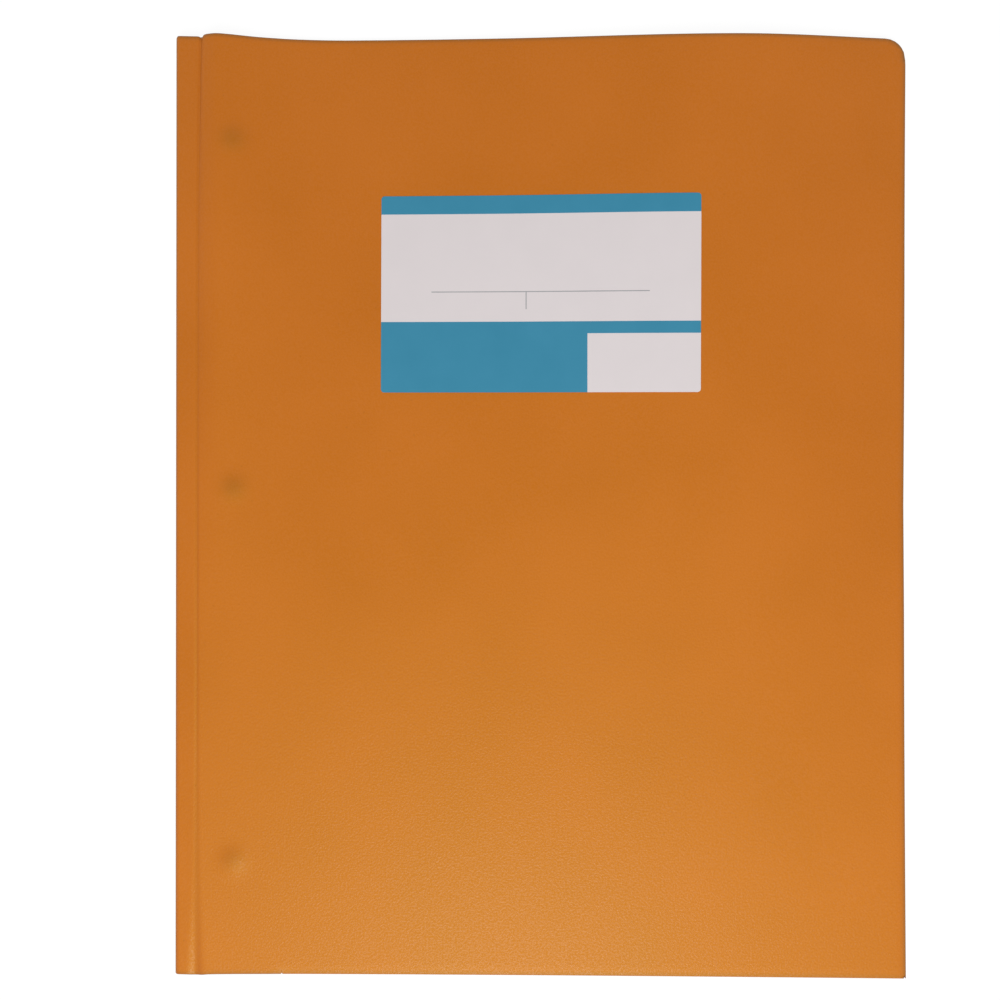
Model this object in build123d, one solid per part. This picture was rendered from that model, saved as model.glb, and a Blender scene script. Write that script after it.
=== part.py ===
from build123d import *
import os
from math import pi, sin

# Pocket folder of folded plastic sheet, closed and lying on its back cover.
# X runs from the spine to the free edge, Y from the bottom fold to the top edge, and Z up from the back cover.
# The origin is under the middle of the closed folder. Sizes are in millimetres.

# Sheet and overall size
folder_width = 230.0
folder_height = 295.0
sheet = 0.5
spine_height = 5.5
free_corner_radius = 5.0
spine_corner_radius = 2.0

# Spine and hinges
binding_width = 8.0
binding_drop = 0.8
hinge_clearance = 0.05
groove_width = 2.0
groove_web = 0.2
groove_bead_radius = 0.3

# Bow of the front cover above its pocket
bow_shoulder_drop = 1.1
bow_shoulder_from_groove = 17.0
bow_trough_gap = 1.2
bow_trough_from_groove = 45.0
bow_middle_drop = 1.7
bow_middle_from_groove = 93.0
bow_crest_rise = 2.2
bow_crest_from_edge = 52.0
bow_edge_drop = 1.4
bow_start = 3.0
bow_growth = 1.3
bow_sections = 7

# Pockets
pocket_height = 108.0
pocket_from_spine = 34.0
pocket_edge_inset = 0.6
pocket_gap = 0.3
pocket_slope_width = 34.0
pocket_slope_drop = 30.0
flex_from_edge = 9.0
flex_from_fold = 7.0

# Edge welds
weld_count = 8
weld_width = 2.0
weld_length = 8.0
weld_edge_inset = 1.4
weld_end_inset = 6.0

# Prong strip
strip_length = 284.0
strip_width = 25.0
strip_sheet = 0.4
channel_width = 12.0
channel_ramp = 1.2
base_clearance = 0.05
slot_clearance = 0.3

# Fasteners
prong_count = 3
prong_pitch = 108.0
prong_from_spine = 18.5
prong_above_middle = 1.7
metal = 0.3
base_length = 16.0
base_width = 9.0
tang_spread = 10.0
tang_length = 23.0
tang_width = 5.5
tang_tip_width = 4.2
tang_bead_radius = 0.25

# Label
label_width = 100.4
label_height = 62.2
label_thickness = 0.12
label_gap = 0.1
label_corner_radius = 1.0
label_from_spine = 65.1
label_from_top = 49.7
label_tilt = 0.5

# Faces and lines that several pieces share
left = -folder_width / 2
right = folder_width / 2
bottom = -folder_height / 2
top = folder_height / 2
spine_top = top - binding_drop
fold_axis_x = left + sheet
back_axis_z = sheet
front_axis_z = spine_height - sheet
groove_x = left + binding_width
groove_axis_z = front_axis_z + groove_web / 2
cover_start = groove_x + groove_width / 2

fold_radius = sheet + pocket_gap / 2
fold_line = bottom + fold_radius
pocket_start = left + pocket_from_spine
pocket_end = right - pocket_edge_inset
pocket_top = bottom + pocket_height
back_pocket_z = sheet + pocket_gap
front_pocket_z = front_axis_z - pocket_gap - sheet

prong_x = left + prong_from_spine
channel_height = metal + base_clearance
channel_top = sheet + channel_height + strip_sheet
tang_axis_z = channel_top + tang_bead_radius
prong_rows = [prong_above_middle + prong_pitch * (prong_count - 1) / 2 - prong_pitch * i for i in range(prong_count)]
prong_names = ["top_fastener", "middle_fastener", "bottom_fastener"]


def block(x_range, y_range, z_range):
    """A box between the given pairs of X, Y and Z."""
    (x0, x1), (y0, y1), (z0, z1) = x_range, y_range, z_range
    return Pos((x0 + x1) / 2, (y0 + y1) / 2, (z0 + z1) / 2) * Box(x1 - x0, y1 - y0, z1 - z0)


def rod(start, end, radius):
    """A round bar from one point to another."""
    along = Vector(end) - Vector(start)
    return Part() + Solid.make_cylinder(radius, along.length, Plane(origin=start, z_dir=along))


def spine_rod(x, z, radius, y_range):
    """A round bar along the spine, on a hinge axis."""
    return rod((x, y_range[0], z), (x, y_range[1], z), radius)


def flat_panel(points, z, thickness):
    """A flat sheet panel with the given outline, from z upwards."""
    return Pos(0, 0, z) * extrude(make_face(Polyline(*points, close=True)), amount=thickness, dir=(0, 0, 1))


def cover_outline(start_x):
    """Outline of a cover with rounded top corners, cut back along the pocket fold, as a tall prism."""
    corners = [
        (start_x, bottom),
        (pocket_start, bottom),
        (pocket_start, fold_line),
        (pocket_end, fold_line),
        (pocket_end, bottom),
        (right, bottom),
        (right, top),
        (start_x, top),
    ]
    outline = Sketch() + make_face(Polyline(*corners, close=True))
    outline = fillet(outline.vertices().group_by(Axis.Y)[-1].sort_by(Axis.X)[-1], free_corner_radius)
    outline = fillet(outline.vertices().group_by(Axis.X)[0].sort_by(Axis.Y)[-1], spine_corner_radius)
    return extrude(outline, amount=2 * spine_height, both=True)


def bow_points(share):
    """Points along the outer face of the front cover from the groove to the free edge, at a share of its full bow."""
    trough = -(spine_height - 2 * sheet - bow_trough_gap)
    cover_width = right - cover_start
    line = [
        (0.0, 0.0),
        (bow_shoulder_from_groove, -bow_shoulder_drop),
        (bow_trough_from_groove, trough),
        (bow_middle_from_groove, -bow_middle_drop),
        (cover_width - bow_crest_from_edge, bow_crest_rise),
        (cover_width, -bow_edge_drop),
    ]
    return [(cover_start + x, share * rise) for x, rise in line]


def bowed_sheet(low, high):
    """The space between two heights, bowed as the front cover is from its pocket up to the top edge."""
    first = pocket_top + bow_start
    sections = []
    for i in range(bow_sections + 1):
        place = i / bow_sections
        y = first + (top - first) * place
        line = bow_points(sin(pi / 2 * place) ** bow_growth)
        upper = [Vector(x, y, high + rise) for x, rise in line]
        lower = [Vector(x, y, low + rise) for x, rise in line]
        edges = [
            Spline(*upper),
            Line(upper[-1], lower[-1]),
            Spline(*reversed(lower)),
            Line(lower[0], upper[0]),
        ]
        sections.append(make_face(edges))
    return loft(sections)


def make_back_cover():
    """The back cover, with the round bead of the back score along its spine edge."""
    plate = block((fold_axis_x, right), (bottom, top), (0, sheet)) & cover_outline(fold_axis_x)
    return plate + spine_rod(fold_axis_x, back_axis_z, sheet, (bottom, spine_top))


def make_binding_edge():
    """The spine wall and the strip beside it, one piece folded square, from the back score to the groove's bead."""
    length = (bottom, spine_top)
    wall = block((left, fold_axis_x), length, (back_axis_z, front_axis_z))
    wall -= spine_rod(fold_axis_x, back_axis_z, sheet + hinge_clearance, length)
    corner = spine_rod(fold_axis_x, front_axis_z, sheet, length)
    corner &= block((left, fold_axis_x), length, (front_axis_z, spine_height))
    strip_end = groove_x - groove_width / 2
    strip = block((fold_axis_x, strip_end), length, (front_axis_z, spine_height))
    web = block((strip_end, groove_x), length, (front_axis_z, front_axis_z + groove_web))
    return wall + corner + strip + web + spine_rod(groove_x, groove_axis_z, groove_bead_radius, length)


def make_front_cover():
    """The front cover: flat over its pocket, bowed above it, and hollowed along the groove's bead."""
    flat_top = pocket_top + bow_start
    cover = block((cover_start, right), (bottom, flat_top), (front_axis_z, spine_height))
    cover += bowed_sheet(front_axis_z, spine_height)
    cover += block((groove_x, cover_start), (bottom, top), (front_axis_z, front_axis_z + groove_web))
    cover &= cover_outline(groove_x)
    return cover - spine_rod(groove_x, groove_axis_z, groove_bead_radius + hinge_clearance, (bottom, top))


def make_label():
    """The stuck-on label, which follows the cover's bow."""
    outline = RectangleRounded(label_width, label_height, label_corner_radius)
    middle = Pos(left + label_from_spine + label_width / 2, top - label_from_top - label_height / 2)
    outline = middle * Rot(0, 0, label_tilt) * outline
    low = spine_height + label_gap
    return bowed_sheet(low, low + label_thickness) & extrude(outline, amount=2 * spine_height)


def make_pocket_fold(low_z):
    """The U bend along the bottom edge that joins a pocket to its cover, from low_z up."""
    axis_z = low_z + fold_radius
    length = (pocket_start, pocket_end)
    bend = rod((length[0], fold_line, axis_z), (length[1], fold_line, axis_z), fold_radius)
    bend -= rod((length[0], fold_line, axis_z), (length[1], fold_line, axis_z), pocket_gap / 2)
    return bend & block(length, (bottom, fold_line), (low_z, low_z + 2 * fold_radius))


def flex_line(z):
    """The two ends of the line along which a pocket's loose corner lifts, at mid thickness."""
    mid = z + sheet / 2
    return Vector(pocket_start, fold_line + flex_from_fold, mid), Vector(pocket_end - flex_from_edge, pocket_top, mid)


def make_pocket_panel(z):
    """The part of a pocket that its fold and its edge weld hold against the cover."""
    low_end, high_end = flex_line(z)
    points = [
        (pocket_start, fold_line),
        (pocket_end, fold_line),
        (pocket_end, pocket_top),
        (high_end.X, high_end.Y),
        (low_end.X, low_end.Y),
    ]
    beyond = (high_end - low_end).normalized() * sheet
    return flat_panel(points, z, sheet) - rod(low_end - beyond, high_end + beyond, sheet / 2 + hinge_clearance)


def make_pocket_corner(z):
    """The loose upper inner corner of a pocket, with a round edge along the line where it lifts."""
    low_end, high_end = flex_line(z)
    points = [
        (low_end.X, low_end.Y),
        (high_end.X, high_end.Y),
        (pocket_start + pocket_slope_width, pocket_top),
        (pocket_start, pocket_top - pocket_slope_drop),
    ]
    return flat_panel(points, z, sheet) + rod(low_end, high_end, sheet / 2)


def make_pocket_welds(low_z):
    """The row of weld spots that close a pocket along the free edge, filling the gap from low_z up."""
    x_range = (pocket_end - weld_edge_inset - weld_width, pocket_end - weld_edge_inset)
    first = fold_line + weld_end_inset
    pitch = (pocket_top - weld_end_inset - weld_length - first) / (weld_count - 1)
    rows = [first + pitch * i for i in range(weld_count)]
    return [block(x_range, (y, y + weld_length), (low_z, low_z + pocket_gap)) for y in rows]


def make_prong_strip():
    """The hat-shaped strip along the spine, with a slot for each tang."""
    middle = prong_above_middle
    half_channel = channel_width / 2
    lower = [
        (-strip_width / 2, 0.0),
        (-half_channel - channel_ramp, 0.0),
        (-half_channel, channel_height),
        (half_channel, channel_height),
        (half_channel + channel_ramp, 0.0),
        (strip_width / 2, 0.0),
    ]
    upper = [(x, z + strip_sheet) for x, z in reversed(lower)]
    profile = Plane((prong_x, middle + strip_length / 2, sheet), x_dir=(1, 0, 0), z_dir=(0, -1, 0))
    strip = extrude(profile * make_face(Polyline(*lower, *upper, close=True)), amount=strip_length)
    slot_x = tang_width / 2 + slot_clearance
    slot_y = metal / 2 + slot_clearance
    for row in prong_rows:
        for side in (-1, 1):
            y = row + side * tang_spread / 2
            strip -= block((prong_x - slot_x, prong_x + slot_x), (y - slot_y, y + slot_y), (sheet, channel_top))
    return strip


def make_fastener_base(row):
    """A fastener's base under the strip, with the two stubs that come up through the slots."""
    half_width = base_width / 2
    half_length = base_length / 2
    base = block((prong_x - half_width, prong_x + half_width), (row - half_length, row + half_length),
                 (sheet, sheet + metal))
    stub_top = tang_axis_z - tang_bead_radius - hinge_clearance
    for side in (-1, 1):
        y = row + side * tang_spread / 2
        base += block((prong_x - tang_width / 2, prong_x + tang_width / 2), (y - metal / 2, y + metal / 2),
                      (sheet + metal, stub_top))
    return base


def make_tang(row, side):
    """One tang, bent flat along the strip, with a round bead where it bends."""
    root = row + side * tang_spread / 2
    tip_radius = tang_tip_width / 2
    tip = root + side * (tang_length - tip_radius)
    points = [
        (prong_x - tang_width / 2, root),
        (prong_x + tang_width / 2, root),
        (prong_x + tip_radius, tip),
        (prong_x - tip_radius, tip),
    ]
    low_z = tang_axis_z - metal / 2
    tang = flat_panel(points, low_z, metal)
    tang += rod((prong_x, tip, low_z), (prong_x, tip, low_z + metal), tip_radius)
    ends = [(prong_x + x, root, tang_axis_z) for x in (-tang_width / 2, tang_width / 2)]
    return tang + rod(*ends, tang_bead_radius)


parts = {
    "back_cover": make_back_cover(),
    "binding_edge": make_binding_edge(),
    "front_cover": make_front_cover(),
    "front_label": make_label(),
    "back_pocket_fold": make_pocket_fold(0),
    "back_pocket_panel": make_pocket_panel(back_pocket_z),
    "back_pocket_corner": make_pocket_corner(back_pocket_z),
    "back_pocket_welds": make_pocket_welds(sheet),
    "front_pocket_fold": make_pocket_fold(front_pocket_z),
    "front_pocket_panel": make_pocket_panel(front_pocket_z),
    "front_pocket_corner": make_pocket_corner(front_pocket_z),
    "front_pocket_welds": make_pocket_welds(front_pocket_z + sheet),
    "prong_strip": make_prong_strip(),
}
for name, row in zip(prong_names, prong_rows):
    parts[f"{name}_base"] = make_fastener_base(row)
    parts[f"{name}_upper_tang"] = make_tang(row, 1)
    parts[f"{name}_lower_tang"] = make_tang(row, -1)

os.makedirs("parts", exist_ok=True)
for name, shape in parts.items():
    solids = shape if isinstance(shape, list) else shape.solids()
    export_step(Compound(children=list(solids)), f"parts/{name}.step")
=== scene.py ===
"""Looks of the pocket folder: its folded sheets, label, prongs, light and camera.

Lengths are in millimetres and angles in degrees, except where a comment says otherwise.
"""
from math import atan2, cos, degrees, exp, hypot, pi, radians, sin, sqrt

import bmesh
import bpy
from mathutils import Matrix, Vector


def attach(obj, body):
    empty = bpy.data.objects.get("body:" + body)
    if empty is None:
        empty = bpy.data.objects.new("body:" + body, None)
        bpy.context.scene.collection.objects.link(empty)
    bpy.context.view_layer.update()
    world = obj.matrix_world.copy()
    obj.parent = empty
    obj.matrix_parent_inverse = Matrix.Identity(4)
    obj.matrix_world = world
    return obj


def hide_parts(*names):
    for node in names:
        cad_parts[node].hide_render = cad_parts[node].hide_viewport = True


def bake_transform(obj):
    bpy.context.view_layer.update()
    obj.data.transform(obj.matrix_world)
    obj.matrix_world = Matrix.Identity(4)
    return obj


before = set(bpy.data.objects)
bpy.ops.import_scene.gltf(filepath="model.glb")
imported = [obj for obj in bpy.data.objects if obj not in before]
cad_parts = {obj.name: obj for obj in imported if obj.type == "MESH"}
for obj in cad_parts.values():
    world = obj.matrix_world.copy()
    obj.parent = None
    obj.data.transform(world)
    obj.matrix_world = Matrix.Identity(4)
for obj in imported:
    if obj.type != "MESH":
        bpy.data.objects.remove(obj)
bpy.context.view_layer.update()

# Folded sheet
width = 230.0
height = 295.0
left = -width / 2
right = width / 2
bottom = -height / 2
top = height / 2
sheet = 0.5
spine_height = 5.5
spine_bend = 1.6
score_bend = 0.6
score_seam = 1.3
cut_edge = 0.22
free_corner_radius = 6.6

# Painted shade along the edges and the fold, and a painted shade line round the bend at the spine, with
# strengths from 0 to 1
edge_shade_width = 1.45
fold_edge_shade = 0.6
spine_shade_strength = 0.75
spine_shade_angle = 28.0
spine_shade_spread = 26.0

# Strip beside the spine, which leans down from lean_x to the spine
strip_top = top
strip_slant = 0.6
strip_corner = 0.9
strip_lean = 0.7
lean_x = -108.0

# Groove that the cover turns on, and how its foot at the bottom edge differs
groove_x = -107.85
groove_turn = 1.2
groove_depth = 0.35
groove_width = 0.5
# Painted shade along the groove's shaded side, as a share of the darker colour
groove_painted_shade = 0.4
foot_depth = 0.7
foot_spread = 1.2
foot_shift = 0.4

# Front cover, with its bow as (distance from cover_start, height) along the top edge, and its cut edge beside
# the fold as (X, distance above the bottom)
cover_start = -107.0
notch_x = -106.2
notch_width = 1.8
bow_low = -36.5
bow_growth = 1.3
bow_line = [
    (0, 0), (2, 0.8), (6, 1.35), (18, -1.1), (30, -2.7), (46, -3.3), (94, -1.9), (170, 1.7), (222, -2.2),
]
foot_line = [(-115, -0.27), (-111, -0.2), (-108.3, -0.42), (-104, 0), (-81.3, 0.16)]
edge_droop = 1.7
droop_start = 30.0
edge_flare = 0.6
edge_roll = 0.25
roll_width = 2.5

# Marks where the prongs inside press against the cover, each with its X, Y, height and how much darker the
# cover is where the prong shows through
prong_marks = [(-96.6, 114.3, 0.4, 1.0), (-96.2, 5.2, 0.4, 1.0), (-96.4, -111.8, 0.5, 0.6)]
mark_width = 3.8

# Pockets, with their bottom fold, their sloped inner corner and the welds along the free edge
fold_radius = 0.65
fold_line = bottom + fold_radius
fold_ease = 3.0
fold_drop = 0.12
fold_sag = 1.3
fold_relief = 0.3
pocket_start = -81.0
pocket_end = 114.4
pocket_top = -39.5
slope_width = 34.0
slope_drop = 30.0
weld_count = 8
weld_start = 111.0
weld_end = 113.0
weld_length = 8.0
weld_end_inset = 6.0
weld_depth = 0.14
weld_slope = 0.3
weld_overlap = 0.1

# Prongs
prong_x = -96.5
prong_pitch = 108.0
prong_middle = 1.7
prong_rows = {
    "top_fastener": prong_middle + prong_pitch,
    "middle_fastener": prong_middle,
    "bottom_fastener": prong_middle - prong_pitch,
}
tang_spread = 10.0
tang_length = 23.0
tang_width = 5.5
tang_tip_width = 4.2
tang_bend = 0.45
stub_top = 1.2
metal = 0.3
metal_edge = 0.06

# Label: X and Y of its upper left corner, and the rest measured across and down from there
label_left = -50.3
label_top = 97.6
label_width = 100.4
label_height = 62.2
label_lift = 0.02
label_thickness = 0.12
label_corner = 1.0
top_band = 5.8
lower_band = 39.9
box_left = 65.0
box_top = 43.7
rule_left = 15.9
rule_right = 84.4
rule_top = 30.3
rule_width = 0.3
divider_x = 45.6
divider_end = 36.0

# Colours: the darker and the lighter shade of each finish, and what grain, the prongs showing through and
# painted shade add to the sheet's
orange_shades = (0.505, 0.114, 0.009), (0.545, 0.128, 0.013)
grain_shade = (0.62, 0.18, 0.026)
fleck_shade = (0.40, 0.09, 0.008)
# Darker where the prongs show through the sheet, and painted shade along the groove's shaded side
show_through_and_shade_colour = (0.43, 0.106, 0.010)
# Painted shade along the edges, the fold and round the bend at the spine
edge_shade_colour = (0.27, 0.082, 0.022)
# The cut edges' tones, darkened with painted shade
cut_painted_shades = (0.20, 0.065, 0.018), (0.29, 0.095, 0.025)
steel_shades = (0.60, 0.60, 0.61), (0.74, 0.74, 0.75)
white_shades = (0.72, 0.662, 0.667), (0.735, 0.675, 0.680)
teal_shades = (0.033, 0.228, 0.356), (0.038, 0.241, 0.374)
grey_shades = (0.30, 0.30, 0.31), (0.36, 0.36, 0.37)

# Floor, light and camera, with lengths in metres, power in watts, the turn in radians and the lens in mm
floor_reach = 4.0
floor_drop = 0.00005
floor_grey = 0.75
shadow_grey = 0.12
floor_glow = 0.92
soft_light = 0.48
lamp_place = (0.015, -0.8, 0.95)
lamp_size = 0.5
lamp_power = 10.6
camera_place = (-0.0127, 0.00154, 0.300)
camera_turn = 0.001
camera_lens = 33.79
sensor_width = 36.0

# Spacing of the sheets' points, as (end, spacing) where it changes on the way from the spine
strip_spacing = [(-112.6, 0.4), (-104.0, 0.2), (-86.0, 1.0)]
score_spacing = [(-112.0, 0.5), (pocket_start - fold_relief, 6.0)]
front_spacing = 4.0
back_spacing = 6.0
fold_spacing = 0.6
slope_spacing = 3.4
pocket_spacing = 5.0
pocket_last_gap = 0.8
label_spacing = 4.0
label_row_inset = 3.0
mark_reach = 9.0
rows_end = top - 2.4
top_rows = [top - 1.4, top - 0.6, top]
edge_margin = 8.0

# Allowances where places are compared, and the angles at which an edge counts as a cut edge or as a crease
same_point = 0.001
slack = 0.01
weld_slack = 0.05
seam_slack = 0.1
cut_angle = 50.0
crease_angle = 40.0


def metres(x, y, z):
    """A point in metres."""
    return Vector((x, y, z)) / 1000


def steps(start, end, count):
    """Evenly spaced places from start to end."""
    return [start + (end - start) * i / count for i in range(count + 1)]


def stations(start, end, step, spots=(), near=0.0, fine=1.0):
    """Places from start to end a step apart, or closer near the spots. The last gap takes up what is left."""
    places = [start]
    while end - places[-1] > slack:
        gap = fine if any(abs(places[-1] - spot) < near for spot in spots) else step
        left_over = end - places[-1] - gap
        places.append(places[-1] + gap if left_over > 0.4 * gap else end)
    return places


def spaced(start, spacings):
    """Places after the start, up to each end with its own spacing."""
    places = [start]
    for end, spacing in spacings:
        places += stations(places[-1], end, spacing)[1:]
    return places[1:]


def bell(distance, spread):
    """A smooth hump, 1 at no distance and close to 0 past twice the spread."""
    return exp(-((distance / spread) ** 2))


def slope_at(points, i):
    """Slope of the smooth line at one of its points, from the points beside it."""
    low = points[max(i - 1, 0)]
    high = points[min(i + 1, len(points) - 1)]
    return (high[1] - low[1]) / (high[0] - low[0])


def smooth_line(points, x):
    """Height at x of a smooth line through the points, which stays level past its ends."""
    x = min(max(x, points[0][0]), points[-1][0])
    i = max(k for k in range(len(points) - 1) if points[k][0] <= x)
    span = points[i + 1][0] - points[i][0]
    t = (x - points[i][0]) / span
    height_part = points[i][1] * (1 - t) ** 2 * (1 + 2 * t) + points[i + 1][1] * t ** 2 * (3 - 2 * t)
    slope_part = slope_at(points, i) * t * (1 - t) ** 2 - slope_at(points, i + 1) * t ** 2 * (1 - t)
    return height_part + span * slope_part


def arc(middle, radius, start, end, count):
    """Points round a bend, without its first one."""
    angles = [radians(a) for a in steps(start, end, count)[1:]]
    return [(middle[0] + radius * cos(a), middle[1] + radius * sin(a)) for a in angles]


def corner_drop(inside, radius):
    """How far a rounded corner lowers an edge, this far into the corner."""
    inside = min(max(inside, 0), radius)
    return radius - sqrt(radius ** 2 - inside ** 2)


# Shape of the covers

def to_foot(y):
    """How far y is on the way down from the middle of the cover, 1 at the bottom edge."""
    return max(0, y / bottom)


def groove_line(y):
    """The groove's X at Y: it turns a little towards the cover at its upper end."""
    return groove_x + groove_turn * max(0, y / top) ** 4


def groove_share(x, y, shift):
    """How far into the groove (x, y) is, 1 at its middle. Its foot is wider, and shifted by this much."""
    foot = to_foot(y) ** 4
    return bell(x - groove_line(y) - shift * foot, groove_width + foot_spread * foot)


def groove_dip(x, y):
    """How deep the groove is at (x, y): it fades on the way down and deepens again at its foot."""
    depth = groove_depth * (1 - to_foot(y)) + foot_depth * to_foot(y) ** 10
    return depth * groove_share(x, y, -foot_shift)


def prong_mark(x, y):
    """How far the marks from the prongs raise the cover at (x, y), and how much darker they make it where
    they show through.
    """
    rise = 0
    darkening = 0
    for mark_x, mark_y, mark_height, show_through in prong_marks:
        share = bell(hypot(x - mark_x, y - mark_y), mark_width)
        rise += mark_height * share
        darkening += show_through * share
    return rise, darkening


def to_free_edge(x):
    """How far x is on the way from droop_start to the free edge, 1 at that edge."""
    return max(0, x - droop_start) / (right - droop_start)


def free_edge_droop(x, y):
    """How far the free edge of the front cover sags in the middle of its length."""
    return -edge_droop * to_free_edge(x) ** 2 * sin(pi * (y - bottom) / (top - bottom))


def no_droop(x, y):
    """The back cover lies flat."""
    return 0


def flare(x, y):
    """How far the front cover reaches out past the back one towards its upper free corner."""
    return edge_flare * to_free_edge(x) ** 3 * sin(pi / 2 * min(1, max(0, 2 * y / top)))


def rolled(inside):
    """How far the front cover turns down this far in from its cut edge."""
    return edge_roll * max(0, 1 - inside / roll_width) ** 2


def lean(x):
    """How far the strip drops towards the spine at x."""
    return -strip_lean * max(0, lean_x - x) / (lean_x - left)


def folds_at(x):
    """Whether a cover's bottom edge at x turns in to make its pocket."""
    return pocket_start - slack < x < pocket_end + slack


def front_fold(x):
    """Y of the front cover's fold at x: it wanders down a little towards the free edge."""
    return fold_line - fold_sag * (max(0, x - pocket_start) / (right - pocket_start)) ** 1.5


def straight_fold(x):
    """Y of the back cover's fold."""
    return fold_line


def front_foot(x):
    """Y of the front cover's lowest line at x: the outside of its fold, or its cut edge beside that."""
    return front_fold(x) - fold_radius + (smooth_line(foot_line, x) if x < pocket_start else 0)


def cover_end(x, fold_y, foot_y):
    """Y of a cover's end at x, where the pocket's fold takes over or the sheet runs on to its cut edge."""
    return fold_y if folds_at(x) else foot_y


def free_corner_drop(x):
    """How far the rounded corner at the free edge lowers the top edge at x."""
    return corner_drop(x - right + free_corner_radius, free_corner_radius)


def front_top(x):
    """Y of the top edge of the strip and the front cover at x."""
    along = (x - left) / (notch_x - left)
    if along < 1:
        return strip_top - strip_slant * along - corner_drop(left + strip_corner - x, strip_corner)
    step = strip_top - strip_slant
    across = (x - notch_x) / notch_width
    return step + (top - step) * (1 - corner_drop(1 - across, 1)) - free_corner_drop(x)


def back_top(x):
    """Y of the top edge of the back cover at x."""
    wall_top = strip_top - strip_corner
    across = (x - left) / notch_width
    return wall_top + (top - wall_top) * (1 - corner_drop(1 - across, 1)) - free_corner_drop(x)


def front_rise(x, y):
    """How far the outer face of the strip and the front cover stands above the flat at (x, y)."""
    rise = lean(x) - groove_dip(x, y) + prong_mark(x, y)[0] + free_edge_droop(x, y)
    if x > cover_start:
        rise -= rolled(right - x) + rolled(front_top(x) - y)
    if x > cover_start and y > bow_low:
        share = sin(pi / 2 * min(1, (y - bow_low) / (top - bow_low))) ** bow_growth
        rise += share * smooth_line(bow_line, x - cover_start)
    if folds_at(x):
        rise -= fold_drop * max(0, 1 - (y - front_fold(x)) / fold_ease) ** 2
    return rise


def fit_row(y, low_edge, high_edge):
    """A row's Y, drawn in or out near the ends so that the first and last rows lie on the edges."""
    high_start = top - edge_margin
    low_start = bottom + edge_margin
    if y > high_start:
        return high_start + (y - high_start) * (high_edge - high_start) / edge_margin
    if y < low_start:
        return low_start + (y - low_start) * (low_start - low_edge) / edge_margin
    return y


def free_edge_columns():
    """The columns across the rounded corner at the free edge, and where the pocket ends beside it."""
    columns = [right - free_corner_radius * (1 - sin(radians(a))) for a in (0, 14, 28, 42, 54)]
    return columns + [pocket_end, right]


def edge_shade_share(inside):
    """How much painted shade darkens the sheet this far in from a cut edge."""
    return max(0, 1 - inside / edge_shade_width)


def border_shade_share(from_side, from_top, from_foot):
    """How much that painted shade shows on a cover, this far from its free edge, its top edge and its fold.
    """
    return max(edge_shade_share(min(from_side, from_top)), fold_edge_shade * edge_shade_share(from_foot))


# Making pieces

def add_object(name, bm, finishes):
    """Makes a finished mesh an object of the scene."""
    mesh = bpy.data.meshes.new(name)
    bm.to_mesh(mesh)
    bm.free()
    for finish in finishes:
        mesh.materials.append(finish)
    added = bpy.data.objects.new(name, mesh)
    bpy.context.scene.collection.objects.link(added)
    return added


def lay_sheet(columns, rows, place, thickness):
    """A sheet laid out as a grid, put in place point by point and given its thickness behind that outer face.
    A layer named border marks the points along its edges."""
    bm = bmesh.new()
    bmesh.ops.create_grid(bm, x_segments=len(columns) - 1, y_segments=len(rows) - 1, size=0.5)
    for vert in bm.verts:
        column = columns[round((vert.co.x + 0.5) * (len(columns) - 1))]
        row = rows[round((vert.co.y + 0.5) * (len(rows) - 1))]
        vert.co = metres(*place(column, row))
    bmesh.ops.remove_doubles(bm, verts=bm.verts, dist=same_point / 1000)
    border = bm.verts.layers.int.new("border")
    for vert in bm.verts:
        vert[border] = vert.is_boundary
    bm.normal_update()
    bmesh.ops.solidify(bm, geom=bm.faces[:], thickness=thickness / 1000)
    bmesh.ops.recalc_face_normals(bm, faces=bm.faces)
    return bm


def ease_edges(bm, edge, seam):
    """Rounds a sheet's cut edges, except where a seam joins it to the next sheet. Returns the new faces."""
    border = bm.verts.layers.int["border"]
    corners = []
    for line in bm.edges:
        is_cut = line.calc_face_angle(0) > radians(cut_angle) and all(v[border] for v in line.verts)
        if is_cut and not all(seam(*(v.co * 1000)) for v in line.verts):
            corners.append(line)
    eased = bmesh.ops.bevel(bm, geom=corners, offset=edge / 1000, offset_type="OFFSET", segments=2,
                            profile=0.5, affect="EDGES", clamp_overlap=False, material=-1)
    return set(eased["faces"])


def no_seam(x, y, z):
    """For a sheet that joins no other."""
    return False


def sheet_piece(name, columns, rows, place, thickness, finishes, edge=0.0, seam=no_seam):
    """A sheet with eased cut edges, or with sharp ones where edge is 0. Its last finish is the cut edges'."""
    bm = lay_sheet(columns, rows, place, thickness)
    eased = ease_edges(bm, edge, seam) if edge else set()
    for face in eased:
        face.material_index = len(finishes) - 1
    for line in bm.edges:
        same = len({face in eased for face in line.link_faces}) == 1
        line.smooth = same and line.calc_face_angle(0) < radians(crease_angle)
    for face in bm.faces:
        face.smooth = True
    bm.verts.layers.int.remove(bm.verts.layers.int["border"])
    return add_object(name, bm, finishes)


def mark_points(piece, name, strength):
    """Keeps a strength from 0 to 1 at each of the piece's points, for its finish to read."""
    values = piece.data.attributes.new(name, "FLOAT", "POINT")
    for vert in piece.data.vertices:
        values.data[vert.index].value = strength(*(vert.co * 1000))


# Finishes

def start_finish(name):
    """A new material with its shader and the piece's own coordinates."""
    material = bpy.data.materials.new(name)
    material.use_nodes = True
    tree = material.node_tree
    coords = tree.nodes.new("ShaderNodeTexCoord")
    return material, tree, tree.nodes["Principled BSDF"], coords.outputs["Object"]


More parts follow.
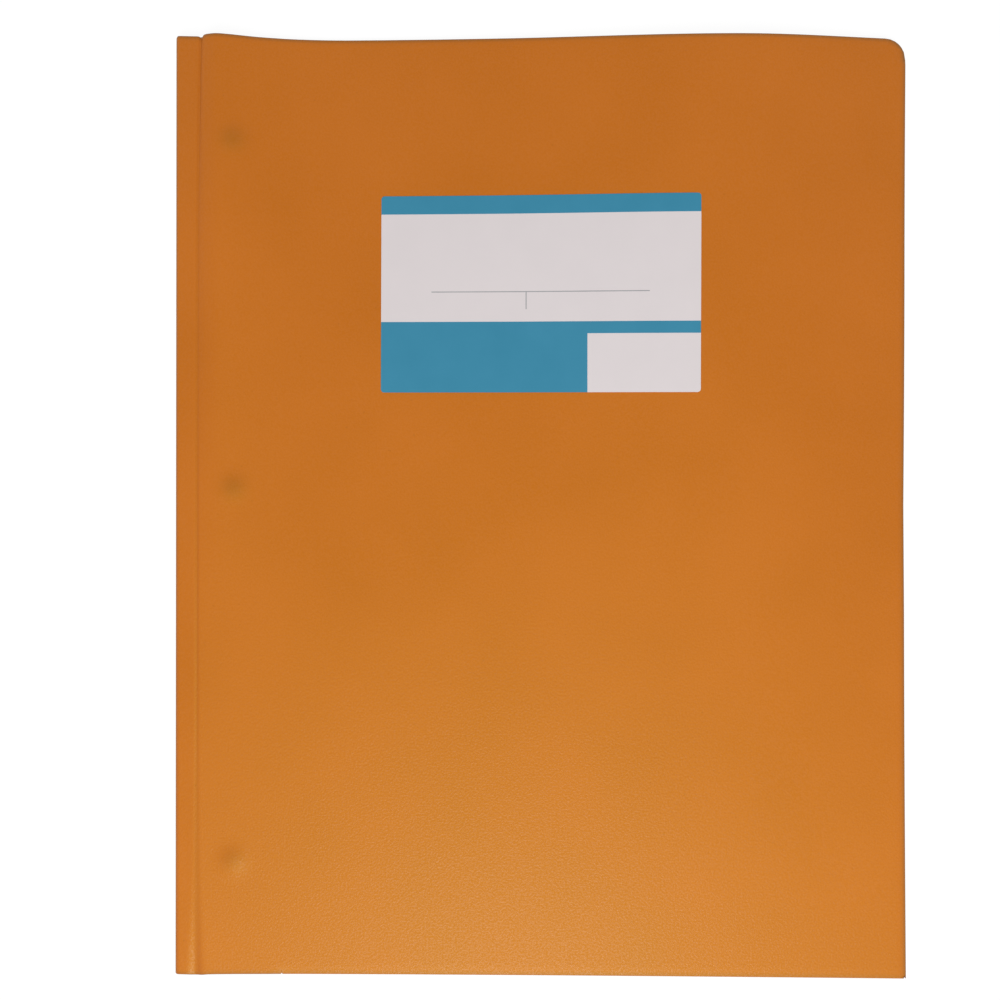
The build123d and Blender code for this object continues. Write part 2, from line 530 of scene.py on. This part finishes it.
def noise(tree, coords, scale, detail, stretch=(1, 1, 1)):
    """A noise pattern, with its scale per metre and a stretch along each axis."""
    mapping = tree.nodes.new("ShaderNodeMapping")
    mapping.inputs["Scale"].default_value = stretch
    tree.links.new(coords, mapping.inputs["Vector"])
    pattern = tree.nodes.new("ShaderNodeTexNoise")
    pattern.inputs["Scale"].default_value = scale
    pattern.inputs["Detail"].default_value = detail
    tree.links.new(mapping.outputs["Vector"], pattern.inputs["Vector"])
    return pattern.outputs["Fac"]


def kept_strength(tree, name):
    """The strength that mark_points keeps under this name."""
    kept = tree.nodes.new("ShaderNodeAttribute")
    kept.attribute_name = name
    return kept.outputs["Fac"]


def levels(tree, value, low_in, high_in, low_out, high_out):
    """A value taken from one range to another."""
    ranged = tree.nodes.new("ShaderNodeMapRange")
    ranged.inputs["From Min"].default_value = low_in
    ranged.inputs["From Max"].default_value = high_in
    ranged.inputs["To Min"].default_value = low_out
    ranged.inputs["To Max"].default_value = high_out
    tree.links.new(value, ranged.inputs["Value"])
    return ranged.outputs["Result"]


def blend_colour(tree, share, first, second):
    """A mix of two colours, each a fixed colour or an output of another node."""
    mix = tree.nodes.new("ShaderNodeMix")
    mix.data_type = "RGBA"
    tree.links.new(share, mix.inputs["Factor"])
    for socket, colour in ((mix.inputs[6], first), (mix.inputs[7], second)):
        if isinstance(colour, tuple):
            socket.default_value = (*colour, 1)
        else:
            tree.links.new(colour, socket)
    return mix.outputs[2]


def bump(tree, socket, pattern, depth, strength):
    """Surface relief of the given depth, for one of the shader's normals."""
    relief = tree.nodes.new("ShaderNodeBump")
    relief.inputs["Distance"].default_value = depth / 1000
    relief.inputs["Strength"].default_value = strength
    tree.links.new(pattern, relief.inputs["Height"])
    tree.links.new(relief.outputs["Normal"], socket)


def orange_sheet_finish():
    """Matte sheet with a fine sand grain, darker over the prongs where they show through, with painted shade
    in the groove, along the edges and round the spine's bend.
    """
    material, tree, shader, coords = start_finish("orange_sheet")
    cloud = noise(tree, coords, 22, 3)
    grain = noise(tree, coords, 1500, 2)
    sparkle = noise(tree, coords, 1650, 2)
    flecks = noise(tree, coords, 800, 2)
    base = blend_colour(tree, levels(tree, cloud, 0.3, 0.7, 0, 1), *orange_shades)
    grained = blend_colour(tree, levels(tree, grain, 0.42, 0.68, 0, 0.05), base, grain_shade)
    flecked = blend_colour(tree, levels(tree, flecks, 0.72, 0.80, 0, 0.5), grained, fleck_shade)
    # Darker where the prongs show through, and painted shade along the groove's shaded side
    through_and_shaded = blend_colour(tree, kept_strength(tree, "show_through_and_shade"), flecked, show_through_and_shade_colour)
    # Painted shade along the edges, the fold and round the spine's bend
    colour = blend_colour(tree, kept_strength(tree, "painted_edge_shade"), through_and_shaded, edge_shade_colour)
    tree.links.new(colour, shader.inputs["Base Color"])
    tree.links.new(levels(tree, cloud, 0.3, 0.7, 0.58, 0.61), shader.inputs["Roughness"])
    tree.links.new(levels(tree, sparkle, 0.38, 0.62, 0.03, 0.23), shader.inputs["Coat Weight"])
    shader.inputs["Specular IOR Level"].default_value = 0.725
    shader.inputs["Specular Tint"].default_value = (0.8, 1.0, 0.12, 1)
    shader.inputs["Coat Roughness"].default_value = 0.28
    bump(tree, shader.inputs["Normal"], grain, 0.07, 1.0)
    bump(tree, shader.inputs["Coat Normal"], sparkle, 0.13, 1.0)
    return material


def cut_edge_finish():
    """The sheet's cut edge: darker with painted shade, and rubbed a little paler in places."""
    material, tree, shader, coords = start_finish("orange_cut_edge")
    rubs = noise(tree, coords, 160, 4)
    colour = blend_colour(tree, levels(tree, rubs, 0.35, 0.7, 0, 1), *cut_painted_shades)
    tree.links.new(colour, shader.inputs["Base Color"])
    tree.links.new(levels(tree, rubs, 0.3, 0.7, 0.5, 0.6), shader.inputs["Roughness"])
    return material


def steel_finish():
    """Tinned steel with fine drawn lines along the tangs."""
    material, tree, shader, coords = start_finish("fastener_steel")
    lines = noise(tree, coords, 2400, 3, (1, 0.03, 1))
    cloud = noise(tree, coords, 300, 3)
    colour = blend_colour(tree, levels(tree, cloud, 0.3, 0.7, 0, 1), *steel_shades)
    tree.links.new(colour, shader.inputs["Base Color"])
    tree.links.new(levels(tree, lines, 0.3, 0.7, 0.24, 0.42), shader.inputs["Roughness"])
    shader.inputs["Metallic"].default_value = 1.0
    bump(tree, shader.inputs["Normal"], lines, 0.02, 0.3)
    return material


def paper_finish(name, shades):
    """Coated label paper in one printed colour, with a faint mottle from its fibres."""
    material, tree, shader, coords = start_finish(name)
    fibres = noise(tree, coords, 700, 4, (1, 2, 1))
    mottle = noise(tree, coords, 90, 3)
    colour = blend_colour(tree, levels(tree, mottle, 0.3, 0.7, 0, 1), *shades)
    tree.links.new(colour, shader.inputs["Base Color"])
    tree.links.new(levels(tree, fibres, 0.3, 0.7, 0.48, 0.6), shader.inputs["Roughness"])
    shader.inputs["Specular IOR Level"].default_value = 0.3
    bump(tree, shader.inputs["Normal"], fibres, 0.015, 0.4)
    return material


orange = orange_sheet_finish()
orange_edge = cut_edge_finish()
sheet_finishes = [orange, orange_edge]
steel = steel_finish()
white_paper = paper_finish("label_white", white_shades)
teal_print = paper_finish("label_teal", teal_shades)
grey_print = paper_finish("label_grey", grey_shades)


# Covers

def make_front_cover():
    """The spine wall, the strip, the groove and the front cover, one folded sheet."""
    bend_middle = (left + spine_bend, spine_height - spine_bend)
    columns = [(left, z) for z in steps(score_seam, spine_height - spine_bend, 3)]
    columns += arc(bend_middle, spine_bend, 180, 90, 8)
    across = spaced(left + spine_bend, strip_spacing) + [pocket_start - fold_relief]
    across += stations(pocket_start, right - free_corner_radius, front_spacing)[:-1]
    columns += [(x, spine_height) for x in across + free_edge_columns()]
    rows = stations(bottom, rows_end, front_spacing, [mark[1] for mark in prong_marks], mark_reach)
    rows += stations(fold_line, fold_line + fold_ease, fold_spacing)[1:]
    rows = sorted(rows + top_rows)

    def place(column, row):
        x, z = column
        y = fit_row(row, cover_end(x, front_fold(x), front_foot(x)), front_top(x))
        wall_rise = lean(x) * (z - score_seam) / (spine_height - score_seam)
        return x + flare(x, y), y, z + (front_rise(x, y) if z == spine_height else wall_rise)

    def seam(x, y, z):
        on_fold = folds_at(x) and abs(y - front_fold(x)) < seam_slack
        return on_fold or z < score_seam + seam_slack

    # Darker where the prongs show through, and painted shade along the groove's shaded side
    def darkening(x, y, z):
        return max(prong_mark(x, y)[1], groove_painted_shade * groove_share(x, y, foot_shift))

    # Painted shade line round the spine's bend, which darkens the sheet's outline there
    def spine_bend_shade(x, z):
        out = Vector((bend_middle[0] - x, z - lean(x) - bend_middle[1]))
        if out.x <= 0 or out.length <= spine_bend - sheet / 2:
            return 0
        return spine_shade_strength * bell(degrees(atan2(out.y, out.x)) - spine_shade_angle, spine_shade_spread)

    # Painted shade along the free and top edges and the fold, and round the spine's bend
    def painted_edge_shade(x, y, z):
        from_side = right + flare(right, y) - x
        from_top = front_top(min(x, right)) - y
        return max(spine_bend_shade(x, z), border_shade_share(from_side, from_top, y - front_foot(x)))

    piece = sheet_piece("front_cover_sheet", columns, rows, place, sheet, sheet_finishes, cut_edge, seam)
    mark_points(piece, "show_through_and_shade", darkening)
    mark_points(piece, "painted_edge_shade", painted_edge_shade)
    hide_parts("front_cover", "binding_edge")
    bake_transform(piece)


def make_back_cover():
    """The back cover, turned up at the back score to meet the spine wall."""
    bend_middle = (left + score_bend, score_bend)
    columns = [(left, score_seam), (left, score_bend)]
    columns += arc(bend_middle, score_bend, 180, 270, 7)
    across = spaced(left + score_bend, score_spacing)
    across += stations(pocket_start, right - free_corner_radius, back_spacing)[:-1]
    columns += [(x, 0.0) for x in across + free_edge_columns()]
    rows = stations(bottom, rows_end, back_spacing) + top_rows

    def place(column, row):
        x, z = column
        return x, fit_row(row, cover_end(x, fold_line, bottom), back_top(x)), z

    def seam(x, y, z):
        on_fold = folds_at(x) and abs(y - fold_line) < seam_slack
        return on_fold or z > score_seam - seam_slack

    # Painted shade along the back cover's edges and bottom
    def painted_edge_shade(x, y, z):
        return border_shade_share(right - x, back_top(x) - y, y - bottom)

    piece = sheet_piece("back_cover_sheet", columns[::-1], rows, place, sheet, sheet_finishes, cut_edge, seam)
    mark_points(piece, "painted_edge_shade", painted_edge_shade)
    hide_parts("back_cover")
    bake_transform(piece)


# Pockets

def pocket_edge(x):
    """Y of a pocket's upper edge at x, with the sloped inner corner."""
    return pocket_top - slope_drop * max(0, 1 - (x - pocket_start) / slope_width)


def weld_rows():
    """Lower ends of the weld spots along the free edge."""
    return steps(fold_line + weld_end_inset, pocket_top - weld_end_inset - weld_length, weld_count - 1)


def weld_dip(x, y):
    """Depth at (x, y) of the mark that the welding bar leaves on the pocket."""
    across = weld_start - weld_slack < x < weld_end + weld_slack
    along = any(low - weld_slack < y < low + weld_length + weld_slack for low in weld_rows())
    return weld_depth if across and along else 0


def make_pocket(word, cover_face, inward, fold_y, droop):
    """One pocket: the fold at the bottom edge and the panel behind it, with its sloped inner corner."""
    axis_z = cover_face + inward * fold_radius
    columns = stations(pocket_start, pocket_start + slope_width, slope_spacing)
    columns += stations(columns[-1], weld_start - 2 * weld_slope, back_spacing)[1:]
    columns += [weld_start - weld_slope, weld_start, weld_end, weld_end + weld_slope, pocket_end]
    up = stations(fold_line, pocket_top - pocket_last_gap, pocket_spacing)[1:]
    for low in weld_rows():
        high = low + weld_length
        up += [low - weld_slope, low, high, high + weld_slope]
    rows = [("fold", angle) for angle in steps(0, 180, 12)]
    rows += [("panel", y) for y in sorted(up + [pocket_top])]

    def place(x, row):
        kind, value = row
        if kind == "fold":
            turn = radians(value)
            ease = fold_drop * max(0, cos(turn)) if inward < 0 else 0
            y = fold_y(x) - fold_radius * sin(turn)
            return x, y, axis_z - inward * fold_radius * cos(turn) - ease
        share = (value - fold_line) / (pocket_top - fold_line)
        y = fold_y(x) + share * (pocket_edge(x) - fold_y(x))
        return x, y, axis_z + inward * (fold_radius - weld_dip(x, y)) + droop(x, y)

    def seam(x, y, z):
        return abs(y - fold_y(x)) < seam_slack and abs(z - cover_face) < sheet + 2 * seam_slack

    # Painted shade along the pocket's edges and its fold
    def painted_edge_shade(x, y, z):
        return border_shade_share(pocket_end - x, pocket_edge(x) - y, y - fold_y(x) + fold_radius)

    name = f"{word}_pocket_sheet"
    piece = sheet_piece(name, columns[::inward], rows, place, sheet, sheet_finishes, cut_edge, seam)
    mark_points(piece, "painted_edge_shade", painted_edge_shade)
    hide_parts(f"{word}_pocket_fold", f"{word}_pocket_panel", f"{word}_pocket_corner")
    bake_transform(piece)


def make_welds(word, cover_face, inward, droop):
    """The weld spots that hold a pocket to its cover along the free edge."""
    size = (weld_end - weld_start, weld_length, 2 * fold_radius - 2 * sheet + weld_overlap)
    x = (weld_start + weld_end) / 2
    bm = bmesh.new()
    for low in weld_rows():
        y = low + weld_length / 2
        spot = bmesh.ops.create_cube(bm, size=0.001)["verts"]
        bmesh.ops.scale(bm, verts=spot, vec=size)
        bmesh.ops.translate(bm, verts=spot, vec=metres(x, y, cover_face + inward * fold_radius + droop(x, y)))
    piece = add_object(f"{word}_weld_spots", bm, [orange_edge])
    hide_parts(f"{word}_pocket_welds")
    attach(piece, f"{word}_cover")


# Prongs

def make_tang(name, row, side):
    """A tang that comes up from its stub, bends over and lies flat along the strip, with a rounded tip."""
    root = row + side * tang_spread / 2
    tip_radius = tang_tip_width / 2
    bend_end = tang_bend - metal / 2
    columns = [-cos(radians(a)) for a in steps(0, 180, 12)]
    rows = [("bend", a) for a in steps(180, 90, 6)]
    rows += [("flat", share) for share in steps(0, 1, 12)[1:]]

    def place(across, row):
        kind, value = row
        if kind == "bend":
            out = bend_end + tang_bend * cos(radians(value))
            up = stub_top + tang_bend * sin(radians(value))
        else:
            reach = tang_length - tip_radius * corner_drop(abs(across), 1)
            out = bend_end + value * (reach - bend_end)
            up = stub_top + tang_bend
        narrowing = min(1, max(0, out) / (tang_length - tip_radius))
        half_width = (tang_width - narrowing * (tang_width - tang_tip_width)) / 2
        return prong_x + across * half_width, root + side * out, up

    piece = sheet_piece(f"{name}_piece", columns[::side], rows, place, metal, [steel], metal_edge)
    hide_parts(name)
    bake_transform(piece)


# Label

def label_colour(across, down):
    """Which of the label's colours covers a point: white 0, teal 1 or the grey rules 2."""
    on_rule = rule_left < across < rule_right and rule_top < down < rule_top + rule_width
    on_divider = 0 < across - divider_x < rule_width and rule_top < down < divider_end
    if on_rule or on_divider:
        return 2
    in_box = across > box_left and down > box_top
    return 1 if down < top_band or (down > lower_band and not in_box) else 0


def make_label():
    """The stuck-on label, which follows the cover's bow and carries plain bands of colour."""
    ends = [label_corner * (1 - cos(radians(a))) for a in steps(0, 90, 4)]
    columns = ends + [label_width - end for end in ends]
    columns += [rule_left, rule_right, divider_x, divider_x + rule_width, box_left]
    columns += stations(label_spacing, label_width - label_spacing, label_spacing)
    rows = ends + [label_height - end for end in ends]
    rows += [top_band, lower_band, box_top, rule_top, rule_top + rule_width, divider_end]
    rows += stations(label_row_inset, label_height - label_row_inset, label_spacing)
    columns = sorted(set(columns))
    rows = sorted(set(rows), reverse=True)

    def place(across, down):
        cut = corner_drop(label_corner - min(across, label_width - across), label_corner)
        cut *= max(0, 1 - min(down, label_height - down) / label_corner)
        x = label_left + across
        y = label_top - (down + cut if down < label_height / 2 else down - cut)
        return x, y, spine_height + front_rise(x, y) + label_lift + label_thickness

    finishes = [white_paper, teal_print, grey_print]
    piece = sheet_piece("cover_label", columns, rows, place, label_thickness, finishes)
    for face in piece.data.polygons:
        middle = face.center * 1000
        face.material_index = label_colour(middle.x - label_left, label_top - middle.y)
    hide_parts("front_label")
    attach(piece, "front_cover")


make_front_cover()
make_back_cover()
make_pocket("front", spine_height, -1, front_fold, free_edge_droop)
make_pocket("back", 0.0, 1, straight_fold, no_droop)
make_welds("front", spine_height, -1, free_edge_droop)
make_welds("back", 0.0, 1, no_droop)
make_label()
for fastener, row in prong_rows.items():
    make_tang(f"{fastener}_upper_tang", row, 1)
    make_tang(f"{fastener}_lower_tang", row, -1)

# Finishes of the solids, some of which show as they are
for node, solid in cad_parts.items():
    solid.data.materials.clear()
    solid.data.materials.append(steel if "fastener" in node else orange)


# Floor, light and camera

def seen_directly(tree):
    """1 for rays from the camera, from a glossy surface or through a clear one."""
    path = tree.nodes.new("ShaderNodeLightPath")
    first = tree.nodes.new("ShaderNodeMath")
    first.operation = "MAXIMUM"
    tree.links.new(path.outputs["Is Camera Ray"], first.inputs[0])
    tree.links.new(path.outputs["Is Glossy Ray"], first.inputs[1])
    second = tree.nodes.new("ShaderNodeMath")
    second.operation = "MAXIMUM"
    tree.links.new(first.outputs["Value"], second.inputs[0])
    tree.links.new(path.outputs["Is Transmission Ray"], second.inputs[1])
    return second.outputs["Value"]


def show_instead(tree, lit, shown, output):
    """Sends one shader to the output, and another for rays that see it directly."""
    mix = tree.nodes.new("ShaderNodeMixShader")
    tree.links.new(seen_directly(tree), mix.inputs["Fac"])
    tree.links.new(lit, mix.inputs[1])
    tree.links.new(shown, mix.inputs[2])
    tree.links.new(mix.outputs["Shader"], tree.nodes[output].inputs["Surface"])


def diffuse(tree, grey):
    """A plain matte grey."""
    matte = tree.nodes.new("ShaderNodeBsdfDiffuse")
    matte.inputs["Color"].default_value = (grey, grey, grey, 1)
    return matte.outputs["BSDF"]


def make_floor():
    """A plain white floor that shows white and keeps the folder's shadow."""
    material = bpy.data.materials.new("floor")
    material.use_nodes = True
    tree = material.node_tree
    tree.nodes.remove(tree.nodes["Principled BSDF"])
    glow = tree.nodes.new("ShaderNodeEmission")
    glow.inputs["Strength"].default_value = floor_glow
    shown = tree.nodes.new("ShaderNodeAddShader")
    tree.links.new(diffuse(tree, shadow_grey), shown.inputs[0])
    tree.links.new(glow.outputs["Emission"], shown.inputs[1])
    show_instead(tree, diffuse(tree, floor_grey), shown.outputs["Shader"], "Material Output")
    bm = bmesh.new()
    bmesh.ops.create_grid(bm, x_segments=1, y_segments=1, size=floor_reach)
    bmesh.ops.translate(bm, verts=bm.verts, vec=(0, 0, -floor_drop))
    floor = add_object("floor", bm, [material])


def background(node, strength):
    """A white background of this strength."""
    node.inputs["Color"].default_value = (1, 1, 1, 1)
    node.inputs["Strength"].default_value = strength
    return node.outputs["Background"]


def make_world():
    """Even light from all round, and a white background."""
    world = bpy.data.worlds.new("studio")
    bpy.context.scene.world = world
    world.use_nodes = True
    tree = world.node_tree
    soft = background(tree.nodes["Background"], soft_light)
    white = background(tree.nodes.new("ShaderNodeBackground"), 1.0)
    show_instead(tree, soft, white, "World Output")


def make_lamp():
    """A square soft lamp, aimed at the middle of the folder."""
    lamp = bpy.data.lights.new("key_lamp", "AREA")
    lamp.size = lamp_size
    lamp.energy = lamp_power
    holder = bpy.data.objects.new("key_lamp", lamp)
    holder.location = lamp_place
    holder.rotation_euler = (-Vector(lamp_place)).to_track_quat("-Z", "Y").to_euler()
    bpy.context.scene.collection.objects.link(holder)


def make_camera():
    """The camera straight above the folder."""
    lens = bpy.data.cameras.new("camera")
    lens.sensor_width = sensor_width
    lens.lens = camera_lens
    lens.clip_start = 0.01
    camera = bpy.data.objects.new("camera", lens)
    camera.location = camera_place
    camera.rotation_euler = (0, 0, camera_turn)
    bpy.context.scene.collection.objects.link(camera)
    bpy.context.scene.camera = camera


make_floor()
make_world()
make_lamp()
make_camera()
bpy.context.scene.view_settings.view_transform = "Standard"
